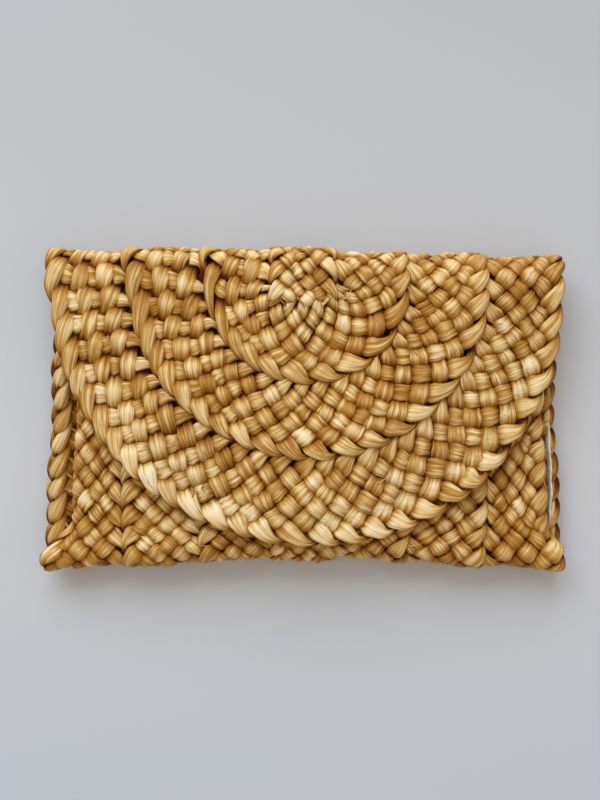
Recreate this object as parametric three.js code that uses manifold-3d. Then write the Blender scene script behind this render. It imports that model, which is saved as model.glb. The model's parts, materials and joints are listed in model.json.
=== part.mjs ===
// A lined envelope clutch made of wide straw plaits, lying on its back with the flap closed.
// Millimetres. +X runs across the front, +Y towards the top fold, +Z up out of the front panel.
// The origin is under the middle of the closed bag, on the surface that it lies on.
// Four long plaits are sewn edge to edge. Each runs up the front, round the bottom fold, up the
// back, over the top fold and round the flap, so every fold cuts a plait into separate solids.
import * as THREE from 'three';
import { mergeVertices } from 'three/addons/utils/BufferGeometryUtils.js';
import Module from 'manifold-3d';

const wasm = await Module();
wasm.setup();

// the closed bag
const bagWidth = 290;
const bagHeight = 180;

// one panel, from the outside in
const plaitThickness = 4.8;
const liningGap = 1.2;
const liningThickness = 0.8;

// what lies between the panels
const roomInside = 8.2;
const snapRoom = 3.9;

// clearances
const seamGap = 0.4;
const foldGap = 0.3;
const endRoom = 0.3;

// seams between the plaits, across the back and across the front
const backSeams = [-145, -99, -56, -17, 17, 56, 99, 145];
const frontSeams = [-131, -100, -58, -18, 19, 62, 101, 137];
const plaitEdgeRound = 0.8;

// the flap's plaits are half ellipses below this line, and run straight up to the fold above it
const flapArcY = 69.4;
const flapHalfWidths = [145, 99, 56, 17];
const flapDepths = [145, 97.5, 55.4, 8];
const flapPlaitNames = ['outer', 'middle', 'inner', 'centre'];
const flapLiningInset = 6;
const legOverlap = 3;

// the bag's mouth and its lining
const mouthY = 72;
const liningMouthY = 70;
const liningLeft = -128;
const liningRight = 134;

// the slip pocket on the back lining
const pocketWidth = 120;
const pocketBottomY = -60;
const pocketTopY = 30;
const pocketThickness = 0.6;

// the magnetic snap
const snapX = 0;
const snapY = -46;
const snapRadius = 9;
const snapHoleRadius = 2.9;
const studRadius = 2.5;
const studLength = 1.5;
const socketThickness = 2;
const socketWall = 0.4;
const studPlateThickness = 1;
const washerThickness = 0.6;
const washerHoleRadius = 1.6;
const snapPlay = 0.1;
const prongWidth = 3;
const prongThickness = 0.5;
const prongX = 4;
const slotRoom = 0.3;
const roundSides = 32;

// heights of the layers, from the table up
const backPlaitTop = plaitThickness;
const backLiningBottom = backPlaitTop + liningGap;
const backLiningTop = backLiningBottom + liningThickness;
const frontLiningBottom = backLiningTop + roomInside;
const frontLiningTop = frontLiningBottom + liningThickness;
const frontPlaitBottom = frontLiningTop + liningGap;
const frontPlaitTop = frontPlaitBottom + plaitThickness;
const flapLiningBottom = frontPlaitTop + snapRoom;
const flapLiningTop = flapLiningBottom + liningThickness;
const flapPlaitBottom = flapLiningTop + liningGap;
const flapPlaitTop = flapPlaitBottom + plaitThickness;

// the two folds are half circles seen from the side
const topFold = {
  y: bagHeight / 2 - flapPlaitTop / 2,
  z: flapPlaitTop / 2,
  side: 1,
};
const bottomFold = {
  y: -bagHeight / 2 + frontPlaitTop / 2,
  z: frontPlaitTop / 2,
  side: -1,
};
const topPlaitInner = topFold.z - plaitThickness;
const topLiningOuter = topFold.z - backLiningBottom;
const topLiningInner = topFold.z - backLiningTop;
const bottomPlaitInner = bottomFold.z - plaitThickness;
const bottomLiningOuter = bottomFold.z - backLiningBottom;
const bottomLiningInner = bottomFold.z - backLiningTop;

// The top fold opens at two hinge lines, a quarter and three quarters of the way round it. At
// this radius the opened fold is as long as the closed one and lies level with the back.
const foldMiddleRadius = topFold.z - plaitThickness / 2;
const hingeRadius = foldMiddleRadius * Math.PI / 4 * Math.SQRT2;
const firstHingeAngle = Math.PI / 4;
const secondHingeAngle = 3 * Math.PI / 4;
const foldStepAngle = Math.PI / 16;

const straw = { color: 0xc9a468, roughness: 0.62, metalness: 0 };
const cotton = { color: 0xe6ddc8, roughness: 0.9, metalness: 0 };
const paleBrass = { color: 0xb89a5c, roughness: 0.3, metalness: 1 };
const ferrite = { color: 0x3c3c3e, roughness: 0.6, metalness: 0.2 };

const clutch = new THREE.Group();

function addPiece(name, geometry, finish) {
  const piece = new THREE.Mesh(geometry, new THREE.MeshStandardMaterial(finish));
  piece.name = name;
  clutch.add(piece);
  return piece;
}

// a point on a fold: the angle starts on the back's side and turns towards the front
function foldPoint(fold, radius, angle) {
  return new THREE.Vector2(
    fold.y + fold.side * radius * Math.sin(angle),
    fold.z - radius * Math.cos(angle),
  );
}

// the even number of steps puts a point in the arc's middle, where the bag is longest
function foldArc(fold, radius, from, to) {
  const points = [];
  const steps = 2 * Math.max(1, Math.round(Math.abs(to - from) / foldStepAngle / 2));
  for (let i = 0; i <= steps; i += 1) {
    points.push(foldPoint(fold, radius, from + (to - from) * i / steps));
  }
  return points;
}

// An outline in the plane of Y and Z, swept across the bag from one X to another.
// A rounding above 0 takes that much off the edges along both sides.
function acrossBag(outline, fromX, toX, rounding) {
  const counterClockwise = THREE.ShapeUtils.area(outline) > 0;
  const shape = new THREE.Shape(counterClockwise ? outline : outline.slice().reverse());
  const geometry = new THREE.ExtrudeGeometry(shape, {
    depth: toX - fromX - 2 * rounding,
    steps: 1,
    bevelEnabled: rounding > 0,
    bevelThickness: rounding,
    bevelSize: rounding,
    bevelOffset: -rounding,
    bevelSegments: 1,
  });
  geometry.translate(0, 0, fromX + rounding);
  const turn = new THREE.Matrix4().makeBasis(
    new THREE.Vector3(0, 1, 0),
    new THREE.Vector3(0, 0, 1),
    new THREE.Vector3(1, 0, 0),
  );
  return geometry.applyMatrix4(turn);
}

// a flat outline in the plane of X and Y, thickened upwards
function flatPiece(shape, bottomZ, topZ, rounding) {
  const geometry = new THREE.ExtrudeGeometry(shape, {
    depth: topZ - bottomZ - 2 * rounding,
    steps: 1,
    curveSegments: 24,
    bevelEnabled: rounding > 0,
    bevelThickness: rounding,
    bevelSize: rounding,
    bevelOffset: -rounding,
    bevelSegments: 1,
  });
  return geometry.translate(0, 0, bottomZ + rounding);
}

function boxBetween(fromX, toX, fromY, toY, fromZ, toZ) {
  const geometry = new THREE.BoxGeometry(toX - fromX, toY - fromY, toZ - fromZ);
  return geometry.translate((fromX + toX) / 2, (fromY + toY) / 2, (fromZ + toZ) / 2);
}

// a solid of revolution about the snap's axis, from points of radius and height
function snapTurning(profile) {
  const points = profile.map(([radius, z]) => new THREE.Vector2(radius, z));
  const geometry = new THREE.LatheGeometry(points, roundSides);
  return geometry.rotateX(Math.PI / 2).translate(snapX, snapY, 0);
}

function toSolid(geometry) {
  const bare = geometry.clone();
  bare.deleteAttribute('normal');
  bare.deleteAttribute('uv');
  const merged = mergeVertices(bare, 1e-4);
  return new wasm.Manifold(new wasm.Mesh({
    numProp: 3,
    vertProperties: new Float32Array(merged.attributes.position.array),
    triVerts: new Uint32Array(merged.index.array),
  }));
}

function toGeometry(solid) {
  const mesh = solid.getMesh();
  const geometry = new THREE.BufferGeometry();
  geometry.setAttribute('position', new THREE.BufferAttribute(mesh.vertProperties, 3));
  geometry.setIndex(new THREE.BufferAttribute(mesh.triVerts, 1));
  geometry.computeVertexNormals();
  return geometry;
}

function joined(geometries) {
  const solids = geometries.map(toSolid);
  return toGeometry(solids.reduce((whole, next) => whole.add(next)));
}

function cutBy(geometry, cutters) {
  const solid = toSolid(geometry);
  return toGeometry(cutters.map(toSolid).reduce((whole, cutter) => whole.subtract(cutter), solid));
}

// how far a layer's outer face stands back from a hinge line, as an angle
function standBack(outer) {
  return Math.max(0, outer - hingeRadius) / outer;
}

// The end of a layer at a hinge line, from its inner face to its outer one. Outside the hinge
// radius it slants away, which leaves the wedge that closes when the fold opens.
function hingeEnd(inner, outer, angle, away) {
  const edge = angle + away * foldGap / 2 / hingeRadius;
  const end = [foldPoint(topFold, inner, edge)];
  if (outer > hingeRadius) {
    end.push(foldPoint(topFold, hingeRadius, edge));
  }
  end.push(foldPoint(topFold, outer, edge + away * standBack(outer)));
  return end;
}

// the back's layer: straight from startY to the top fold, and round to the first hinge line
function backOutline(startY, inner, outer) {
  const outerArc = foldArc(topFold, outer, 0, firstHingeAngle - standBack(outer));
  const innerArc = foldArc(topFold, inner, firstHingeAngle, 0);
  return [
    new THREE.Vector2(startY, topFold.z - outer),
    ...outerArc.slice(0, -1),
    ...hingeEnd(inner, outer, firstHingeAngle, -1).reverse(),
    ...innerArc.slice(1),
    new THREE.Vector2(startY, topFold.z - inner),
  ];
}

// the top fold's middle half, between the two hinge lines
function foldOutline(inner, outer) {
  const from = firstHingeAngle + standBack(outer);
  const to = secondHingeAngle - standBack(outer);
  const outerArc = foldArc(topFold, outer, from, to);
  const innerArc = foldArc(topFold, inner, secondHingeAngle, firstHingeAngle);
  return [
    ...hingeEnd(inner, outer, firstHingeAngle, 1),
    ...outerArc.slice(1, -1),
    ...hingeEnd(inner, outer, secondHingeAngle, -1).reverse(),
    ...innerArc.slice(1, -1),
  ];
}

// the flap's layer: from the second hinge line round to the flat part, which it overlaps
function flapLegOutline(inner, outer, endY) {
  const outerArc = foldArc(topFold, outer, secondHingeAngle + standBack(outer), Math.PI);
  const innerArc = foldArc(topFold, inner, Math.PI, secondHingeAngle);
  return [
    ...hingeEnd(inner, outer, secondHingeAngle, 1),
    ...outerArc.slice(1),
    new THREE.Vector2(endY, topFold.z + outer),
    new THREE.Vector2(endY, topFold.z + inner),
    ...innerArc.slice(0, -1),
  ];
}

// one U-shaped plait of the flap, seen from above; the centre one has no inner edge
function flapPlaitShape(outerWidth, outerDepth, innerWidth, innerDepth) {
  const shape = new THREE.Shape();
  shape.moveTo(-outerWidth, topFold.y);
  shape.lineTo(-outerWidth, flapArcY);
  shape.absellipse(0, flapArcY, outerWidth, outerDepth, Math.PI, 2 * Math.PI, false);
  shape.lineTo(outerWidth, topFold.y);
  if (innerWidth > 0) {
    shape.lineTo(innerWidth, topFold.y);
    shape.lineTo(innerWidth, flapArcY);
    shape.absellipse(0, flapArcY, innerWidth, innerDepth, 2 * Math.PI, Math.PI, true);
    shape.lineTo(-innerWidth, topFold.y);
  }
  return shape;
}

function addFlapPlait(index) {
  const outerWidth = flapHalfWidths[index] - (index > 0 ? seamGap / 2 : 0);
  const outerDepth = flapDepths[index] - (index > 0 ? seamGap / 2 : 0);
  const isCentre = index === flapHalfWidths.length - 1;
  const innerWidth = isCentre ? 0 : flapHalfWidths[index + 1] + seamGap / 2;
  const innerDepth = isCentre ? 0 : flapDepths[index + 1] + seamGap / 2;
  const plate = flatPiece(
    flapPlaitShape(outerWidth, outerDepth, innerWidth, innerDepth),
    flapPlaitBottom,
    flapPlaitTop,
    plaitEdgeRound,
  );
  const outline = flapLegOutline(topPlaitInner, topFold.z, topFold.y - legOverlap);
  const legs = isCentre
    ? [acrossBag(outline, -outerWidth, outerWidth, plaitEdgeRound)]
    : [
      acrossBag(outline, -outerWidth, -innerWidth, plaitEdgeRound),
      acrossBag(outline, innerWidth, outerWidth, plaitEdgeRound),
    ];
  addPiece(`flap_plait_${flapPlaitNames[index]}`, joined([plate, ...legs]), straw);
}

function straightOutline(startY, endY, bottomZ, topZ) {
  return [
    new THREE.Vector2(startY, bottomZ),
    new THREE.Vector2(endY, bottomZ),
    new THREE.Vector2(endY, topZ),
    new THREE.Vector2(startY, topZ),
  ];
}

function bottomFoldOutline(inner, outer) {
  return [
    ...foldArc(bottomFold, outer, 0, Math.PI),
    ...foldArc(bottomFold, inner, Math.PI, 0),
  ];
}

function prongSlots(bottomZ, topZ) {
  return [-prongX, prongX].map((x) => boxBetween(
    snapX + x - prongThickness / 2 - slotRoom,
    snapX + x + prongThickness / 2 + slotRoom,
    snapY - prongWidth / 2 - slotRoom,
    snapY + prongWidth / 2 + slotRoom,
    bottomZ - 1,
    topZ + 1,
  ));
}

function prongs(bottomZ, topZ) {
  return [-prongX, prongX].map((x) => boxBetween(
    snapX + x - prongThickness / 2,
    snapX + x + prongThickness / 2,
    snapY - prongWidth / 2,
    snapY + prongWidth / 2,
    bottomZ,
    topZ,
  ));
}

function addPlaitColumn(number) {
  const left = backSeams[number - 1] + (number > 1 ? seamGap / 2 : 0);
  const right = backSeams[number] - (number < backSeams.length - 1 ? seamGap / 2 : 0);
  const back = backOutline(bottomFold.y + foldGap, topPlaitInner, topFold.z);
  addPiece(`back_plait_${number}`, acrossBag(back, left, right, plaitEdgeRound), straw);
  const fold = foldOutline(topPlaitInner, topFold.z);
  addPiece(`top_fold_plait_${number}`, acrossBag(fold, left, right, plaitEdgeRound), straw);
  const turn = bottomFoldOutline(bottomPlaitInner, bottomFold.z);
  addPiece(`bottom_fold_plait_${number}`, acrossBag(turn, left, right, plaitEdgeRound), straw);
  const front = acrossBag(
    straightOutline(bottomFold.y + foldGap, mouthY, frontPlaitBottom, frontPlaitTop),
    frontSeams[number - 1] + seamGap / 2,
    frontSeams[number] - seamGap / 2,
    plaitEdgeRound,
  );
  const holdsSnap = frontSeams[number - 1] < snapX && snapX < frontSeams[number];
  const slots = prongSlots(frontPlaitBottom, frontPlaitTop);
  addPiece(`front_plait_${number}`, holdsSnap ? cutBy(front, slots) : front, straw);
}

function addLining() {
  const back = backOutline(bottomFold.y + foldGap, topLiningInner, topLiningOuter);
  addPiece('lining_back', acrossBag(back, liningLeft, liningRight, 0), cotton);
  const fold = foldOutline(topLiningInner, topLiningOuter);
  addPiece('lining_top_fold', acrossBag(fold, liningLeft, liningRight, 0), cotton);
  const turn = bottomFoldOutline(bottomLiningInner, bottomLiningOuter);
  addPiece('lining_bottom_fold', acrossBag(turn, liningLeft, liningRight, 0), cotton);
  const front = straightOutline(
    bottomFold.y + foldGap,
    liningMouthY,
    frontLiningBottom,
    frontLiningTop,
  );
  addPiece('lining_front', acrossBag(front, liningLeft, liningRight, 0), cotton);
  const sideBottom = backLiningTop + endRoom;
  const sideTop = frontLiningBottom - endRoom;
  const sides = {
    lining_side_left: liningLeft,
    lining_side_right: liningRight - liningThickness,
  };
  for (const [name, x] of Object.entries(sides)) {
    const side = boxBetween(
      x,
      x + liningThickness,
      bottomFold.y + foldGap,
      liningMouthY,
      sideBottom,
      sideTop,
    );
    addPiece(name, side, cotton);
  }
  addFlapLining();
}

function addFlapLining() {
  const halfWidth = flapHalfWidths[0] - flapLiningInset;
  const plate = flatPiece(
    flapPlaitShape(halfWidth, flapDepths[0] - flapLiningInset, 0, 0),
    flapLiningBottom,
    flapLiningTop,
    0,
  );
  const outline = flapLegOutline(topLiningInner, topLiningOuter, topFold.y - legOverlap);
  const leg = acrossBag(outline, liningLeft, liningRight, 0);
  const slots = prongSlots(flapLiningBottom, flapLiningTop);
  addPiece('lining_flap', cutBy(joined([plate, leg]), slots), cotton);
}

function addPocket() {
  const bottomZ = backLiningTop + endRoom;
  const pocket = boxBetween(
    -pocketWidth / 2,
    pocketWidth / 2,
    pocketBottomY,
    pocketTopY,
    bottomZ,
    bottomZ + pocketThickness,
  );
  addPiece('slip_pocket', pocket, cotton);
}

function addWasher(name, bottomZ) {
  const topZ = bottomZ + washerThickness;
  const ring = snapTurning([
    [washerHoleRadius, bottomZ],
    [snapRadius - 1, bottomZ],
    [snapRadius - 1, topZ],
    [washerHoleRadius, topZ],
    [washerHoleRadius, bottomZ],
  ]);
  addPiece(name, cutBy(ring, prongSlots(bottomZ, topZ)), paleBrass);
}

// the half on the front panel: a drawn cap over a ring magnet, closed by a plate with two prongs
function addSnapSocket() {
  const bottomZ = frontPlaitTop + endRoom;
  const topZ = bottomZ + socketThickness;
  const inside = snapRadius - socketWall;
  addPiece('snap_socket_cap', snapTurning([
    [snapHoleRadius, topZ - socketWall],
    [inside, topZ - socketWall],
    [inside, bottomZ],
    [snapRadius, bottomZ],
    [snapRadius, topZ - socketWall],
    [snapRadius - socketWall, topZ],
    [snapHoleRadius, topZ],
    [snapHoleRadius, topZ - socketWall],
  ]), paleBrass);
  const plateTop = bottomZ + socketWall;
  const plate = snapTurning([
    [0, bottomZ],
    [inside - snapPlay, bottomZ],
    [inside - snapPlay, plateTop],
    [0, plateTop],
  ]);
  const washerBottom = frontLiningTop + endRoom;
  const legs = prongs(washerBottom, plateTop);
  addPiece('snap_socket_plate', joined([plate, ...legs]), paleBrass);
  addPiece('snap_magnet', snapTurning([
    [snapHoleRadius + socketWall, plateTop + snapPlay],
    [inside - snapPlay, plateTop + snapPlay],
    [inside - snapPlay, topZ - socketWall - snapPlay],
    [snapHoleRadius + socketWall, topZ - socketWall - snapPlay],
    [snapHoleRadius + socketWall, plateTop + snapPlay],
  ]), ferrite);
  addWasher('snap_socket_washer', washerBottom);
}

// the half on the flap: a plate with a stud below it, and two prongs through the lining
function addSnapStud() {
  const topZ = flapLiningBottom - endRoom;
  const bottomZ = topZ - studPlateThickness;
  const tipZ = bottomZ - studLength;
  const body = snapTurning([
    [0, tipZ],
    [studRadius - socketWall, tipZ],
    [studRadius, tipZ + socketWall],
    [studRadius, bottomZ],
    [snapRadius - 2 * socketWall, bottomZ],
    [snapRadius - socketWall, bottomZ + socketWall],
    [snapRadius - socketWall, topZ],
    [0, topZ],
  ]);
  const washerBottom = flapLiningTop + endRoom;
  const legs = prongs(bottomZ + socketWall, washerBottom + washerThickness);
  addPiece('snap_stud', joined([body, ...legs]), paleBrass);
  addWasher('snap_stud_washer', washerBottom);
}

for (let number = 1; number < backSeams.length; number += 1) {
  addPlaitColumn(number);
}
flapPlaitNames.forEach((name, index) => addFlapPlait(index));
addLining();
addPocket();
addSnapSocket();
addSnapStud();

export default clutch;
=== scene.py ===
import json
import math

import bmesh
import bpy
import numpy as np
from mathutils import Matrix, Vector

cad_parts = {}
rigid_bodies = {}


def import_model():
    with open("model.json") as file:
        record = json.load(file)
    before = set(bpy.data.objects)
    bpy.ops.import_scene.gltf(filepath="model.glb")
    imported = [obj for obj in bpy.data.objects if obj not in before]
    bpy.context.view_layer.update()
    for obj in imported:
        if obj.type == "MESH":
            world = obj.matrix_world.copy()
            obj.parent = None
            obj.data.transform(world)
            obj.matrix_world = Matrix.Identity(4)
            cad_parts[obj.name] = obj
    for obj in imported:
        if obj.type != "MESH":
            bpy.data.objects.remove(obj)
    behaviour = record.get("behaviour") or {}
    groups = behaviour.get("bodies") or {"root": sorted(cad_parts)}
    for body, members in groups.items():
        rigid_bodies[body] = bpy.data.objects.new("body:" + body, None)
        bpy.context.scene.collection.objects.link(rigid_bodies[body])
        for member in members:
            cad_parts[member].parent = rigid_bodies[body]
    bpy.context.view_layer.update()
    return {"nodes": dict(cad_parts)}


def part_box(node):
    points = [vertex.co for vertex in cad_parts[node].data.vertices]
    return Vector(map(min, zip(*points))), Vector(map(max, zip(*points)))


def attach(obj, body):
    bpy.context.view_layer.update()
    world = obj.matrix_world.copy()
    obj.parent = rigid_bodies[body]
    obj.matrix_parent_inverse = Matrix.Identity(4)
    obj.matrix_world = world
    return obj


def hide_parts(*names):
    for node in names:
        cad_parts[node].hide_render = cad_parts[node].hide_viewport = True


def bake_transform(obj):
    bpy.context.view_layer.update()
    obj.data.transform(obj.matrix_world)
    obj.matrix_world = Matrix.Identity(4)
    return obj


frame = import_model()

mm = 0.001


def nodeBox(name):
    # a node's corners at rest, in mm
    low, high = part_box(name)
    return np.array(low) / mm, np.array(high) / mm


frontLow, frontHigh = nodeBox("front_plait_4")
_, bagHigh = nodeBox("top_fold_plait_4")
turnLow, _ = nodeBox("bottom_fold_plait_4")
flapLow, flapHigh = nodeBox("flap_plait_outer")
bag = {
    "thick": frontHigh[2] - frontLow[2],      # one plait
    "mouth": frontHigh[1],                    # y of the front panel's top edge
    "top": bagHigh[1],                        # y of the top fold
    "bottom": turnLow[1],
    "frontTop": frontHigh[2],
    "flapTop": flapHigh[2],
    "halfWidth": flapHigh[0],
    "arcY": flapLow[1] + flapHigh[0],         # the flap's plaits start to turn here
}
bag["topRadius"] = (bag["flapTop"] - bag["thick"]) / 2
bag["topY"] = bag["top"] - bag["flapTop"] / 2
bag["topZ"] = bag["flapTop"] / 2
bag["bottomRadius"] = (bag["frontTop"] - bag["thick"]) / 2
bag["bottomY"] = bag["bottom"] + bag["frontTop"] / 2
bag["bottomZ"] = bag["frontTop"] / 2
backSeams = [nodeBox(f"back_plait_{i}")[0][0] for i in range(1, 8)] + [bag["halfWidth"]]
frontSeams = [nodeBox(f"front_plait_{i}")[0][0] for i in range(1, 8)] + [nodeBox("front_plait_7")[1][0]]
flapNodes = ["flap_plait_outer", "flap_plait_middle", "flap_plait_inner", "flap_plait_centre"]
flapDepths = [bag["arcY"] - nodeBox(name)[0][1] for name in flapNodes]

# distances along the bag's middle surface, from the front's mouth down, round, up and over to the flap
way = {"bottom": bag["mouth"] - bag["bottomY"]}
way["back"] = way["bottom"] + math.pi * bag["bottomRadius"]
way["top"] = way["back"] + bag["topY"] - bag["bottomY"]
way["flap"] = way["top"] + math.pi * bag["topRadius"]
way["middleOfTop"] = (way["top"] + way["flap"]) / 2
way["middleOfBottom"] = (way["bottom"] + way["back"]) / 2
way["arc"] = way["flap"] + bag["topY"] - bag["arcY"]

shape = {
    "frontDrop": 3.6,        # the front panel comes down towards its sides
    "rollRadius": 4.0,       # and rolls over there, down to the back
    "rollDeep": 6.0,
    "flapDrop": 4.5,         # the flap's free edge hangs down to the front
    "flapSideDrop": 5.0,
    "backCurl": 6.0,         # the back's edges curl up at the sides
    "wave": 0.8,
    "waist": 4.0,            # the sides draw in between the corners
    "leftCorner": 4.0,       # and the corners of the top fold are rounded
    "rightCorner": 3.0,
    "floorPress": 1.1,       # below this height the straw is pressed flat by the table
    "topTilt": 4.0,          # the top fold sits this much lower at its right end
    "bottomBow": 6.5,        # the bottom edge bows up between its corners
    "flapInset": 5.6,        # the flap's left half is drawn in towards its middle
    "leftInset": 3.0,        # and so are the layers under it, above the waist
    "rimRight": 2.2,         # how much further out the front rolls over on the right
}


def smooth(t):
    t = np.clip(t, 0, 1)
    return t * t * (3 - 2 * t)


def climb(value, start, over):
    # 0 up to the start, and 1 from the distance over past it
    return smooth((value - start) / over)


def bell(value, middle, width):
    # 1 at the middle, fading out over the width on either side
    return np.exp(-(((value - middle) / width) ** 2))


rippleWaves = 6
rippleHeight = 2.6           # the sum of the waves, before it is brought to about one


def ripple(seed, a, b, size):
    # a smooth random field of about plus or minus one
    draw = np.random.default_rng(seed)
    total = 0
    for _ in range(rippleWaves):
        angle = draw.uniform(0, 2 * math.pi)
        phase = draw.uniform(0, 2 * math.pi)
        pace = draw.uniform(0.6, 1.6)
        along = a * math.cos(angle) + b * math.sin(angle)
        total = total + np.sin(along * pace * 2 * math.pi / size + phase)
    return total / rippleHeight


snapY = -46


def nearSnap(x, y, reach):
    return bell(x, 0, reach) * bell(y, snapY, reach)


def middleSurface(q):
    # y and z of the bag's middle surface at q, and the y and z of its outward direction
    turnB = np.clip((q - way["bottom"]) / bag["bottomRadius"], 0, math.pi)
    turnT = np.clip((q - way["top"]) / bag["topRadius"], 0, math.pi)
    front = q < way["bottom"]
    bottom = (q >= way["bottom"]) & (q < way["back"])
    back = (q >= way["back"]) & (q < way["top"])
    top = (q >= way["top"]) & (q < way["flap"])
    places = [front, bottom, back, top]
    low = bag["thick"] / 2
    y = np.select(places, [
        bag["mouth"] - q,
        bag["bottomY"] - bag["bottomRadius"] * np.sin(turnB),
        bag["bottomY"] + q - way["back"],
        bag["topY"] + bag["topRadius"] * np.sin(turnT),
    ], bag["topY"] - (q - way["flap"]))
    z = np.select(places, [
        np.full_like(q, bag["frontTop"] - low),
        bag["bottomZ"] + bag["bottomRadius"] * np.cos(turnB),
        np.full_like(q, low),
        bag["topZ"] - bag["topRadius"] * np.cos(turnT),
    ], bag["flapTop"] - low)
    ny = np.select(places, [0 * q, -np.sin(turnB), 0 * q, np.sin(turnT)], 0 * q)
    nz = np.select(places, [1 + 0 * q, np.cos(turnB), -1 + 0 * q, -np.cos(turnT)], 1 + 0 * q)
    return y, z, ny, nz


def rolledOver(x, h):
    # the front's sides roll over: how far down they are, the angle there, and the new x
    radius = shape["rollRadius"]
    side = np.abs(x)
    rim = np.where(x < 0, -frontSeams[0], frontSeams[-1] + shape["rimRight"]) - bag["thick"] / 2 - 0.5
    past = np.maximum(side - (rim - radius), 0)
    turn = np.minimum(past / radius, math.pi / 2)
    deep = shape["rollDeep"]
    down = radius * (1 - np.cos(turn)) + deep * np.tanh(np.maximum(past - radius * math.pi / 2, 0) / deep)
    rolled = rim - radius + (radius + h) * np.sin(turn)
    return down, turn, np.sign(x) * np.where(past > 0, rolled, side)


def onBag(x, q, h):
    # x across, q along the middle surface, h outwards from it, all in mm, to points in mm
    x, q, h = np.broadcast_arrays(np.asarray(x, float), np.asarray(q, float), np.asarray(h, float))
    y, z, ny, nz = middleSurface(q)
    frontShare = 1 - smooth((q - way["bottom"] + 6) / (way["back"] - way["bottom"] + 6))
    flapShare = smooth((q - way["top"]) / (way["flap"] - way["top"]))
    backShare = 1 - frontShare - flapShare
    side = np.abs(x)
    ring = np.where(y < bag["arcY"], np.hypot(x, y - bag["arcY"]), side)
    snap = nearSnap(x, y, 26)
    drawn = shape["waist"] * climb(side, 95, 50) * bell(y, 2, 48) * (1 - 0.75 * flapShare)
    drop = frontShare * shape["frontDrop"] * climb(side, 70, 70)
    drop = drop + flapShare * shape["flapDrop"] * climb(ring, 90, 55) * (1 - snap)
    drop = drop + flapShare * shape["flapSideDrop"] * climb(side, 85, 60)
    lift = backShare * shape["backCurl"] * climb(side, 118, 27)
    wave = shape["wave"] * ripple(11, x, q, 90) * (1 - snap) * (1 - 0.7 * backShare)
    y = y + ny * h + ny * 0.8 * ripple(12, x, 0 * x, 60)
    roll = smooth((way["bottom"] + 2 - q) / 26)
    down, turn, rolledX = rolledOver(x, h)
    z = z + nz * h * (1 - roll * (1 - np.cos(turn))) - drop - roll * down + lift + wave
    x = x + roll * (rolledX - x)
    press = shape["floorPress"]
    z = np.where(z < press, press * np.exp((z - press) / press), z)
    edgeWave = 0.6 * climb(side, 110, 30) * ripple(13, y, 0 * y, 75)
    corner = np.where(x < 0, shape["leftCorner"] * bell(y, 89, 13), shape["rightCorner"] * bell(y, 74, 25))
    drawn = drawn + corner * climb(side, 112, 33)
    leftInset = shape["leftInset"] * (1 - flapShare) * (x < 0)
    drawn = drawn + leftInset * climb(side, 95, 45) * bell(y, 54, 28)
    inset = shape["flapInset"] * flapShare * climb(ring, 15, 60) * smooth((70 - x) / 150)
    inset = inset * (1 - 0.8 * climb(y, 55, 35))
    along = np.minimum(y - bag["arcY"], 0)
    tilt = shape["topTilt"] * climb(x, -50, 190) * climb(y, -20, 100)
    bow = shape["bottomBow"] * bell(x, 0, 85) * climb(-y, 50, 38) * (1 - 0.9 * flapShare)
    x = x - np.sign(x) * (drawn + edgeWave) - inset * x / np.maximum(ring, 1)
    y = y - inset * along / np.maximum(ring, 1) - tilt + bow
    return np.stack([x, y, z], axis=-1)


plaitLook = {
    "strands": 7,
    "pitch": 13.0,          # between two turns on one edge, for a plait of the full width
    "fullWidth": 47.5,
    "overlap": 4.3,         # how much two neighbours lie over each other
    "weave": 1.5,           # height of a strand's middle over or under the plait's
    "halfThick": 1.35,
    "strandWidth": 0.98,    # of the distance between neighbours
    "uneven": 0.1,
    "oddPale": 0.02,        # share of cells that dried much paler
    "folds": 0.3,
    "drift": 1.3,
    "jitter": 0.45,
    "edgeTilt": 1.15,       # outer edge up, inner edge down
    "outerTilt": 0.35,      # for the outer edge of the outermost plait
    "centreRise": 0.9,      # the centre plait lies on its neighbours
    "stitchDip": 1.2,       # how deep a sewn line pulls the straw in
    "stepsPerCell": 7,
    "around": 20,
    "turnSoft": 0.09,       # how round the turns are, of the half width
    "turnLean": 1.7,        # how far a strand runs on along the edge as it turns
    "seamWide": 12.0,       # the sewing strand under the seam between two plaits
    "seamIn": 2.6,
    "seamUnder": 2.9,
    "turnWidth": 0.42,      # of the strand's width, where it folds over at the edge
}


def weaveHeight(m, n):
    # m counts crossings: 0 and n are the turns at the two edges, over at the even ones and under at the odd
    first = np.mod(m, 2 * n)
    k = np.where(first > n + 1, first - n, first)  # the way back is the same as the way out
    z = np.where(k >= n - 1, np.cos(math.pi * (k - (n - 1)) / 2), np.cos(math.pi * k))
    return np.where(first < 1, np.cos(math.pi * (first + 1) / 2), z)


def swing(m, n):
    # across the plait, from -1 at one edge to 1 at the other, with rounded turns
    k = np.mod(m, 2 * n)
    tri = np.where(k < n, k / n, 2 - k / n) * 2 - 1
    edge = 1 - np.abs(tri)                           # distance from the nearer edge
    soft = plaitLook["turnSoft"]
    rounded = np.where(edge < 2 * soft, soft + edge * edge / (4 * soft), edge)
    return np.sign(tri) * (1 - rounded)


def turnNearness(m, n):
    # 1 at a turn, falling to 0 a crossing and a half away on either side
    k = np.mod(m + n / 2, n) - n / 2
    return smooth(1 - np.abs(k) / 1.5), k


# how far the strands lean along the arc, at shares of its turn from left to right
leanPlan = {
    "at": [-0.2, -0.06, 0.0, 0.17, 0.38, 0.6, 0.8, 0.95, 1.08],
    "lean": [0, 0.75, 0.95, 0.6, 0.12, -0.08, -0.2, 0.15, 0],
}


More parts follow.
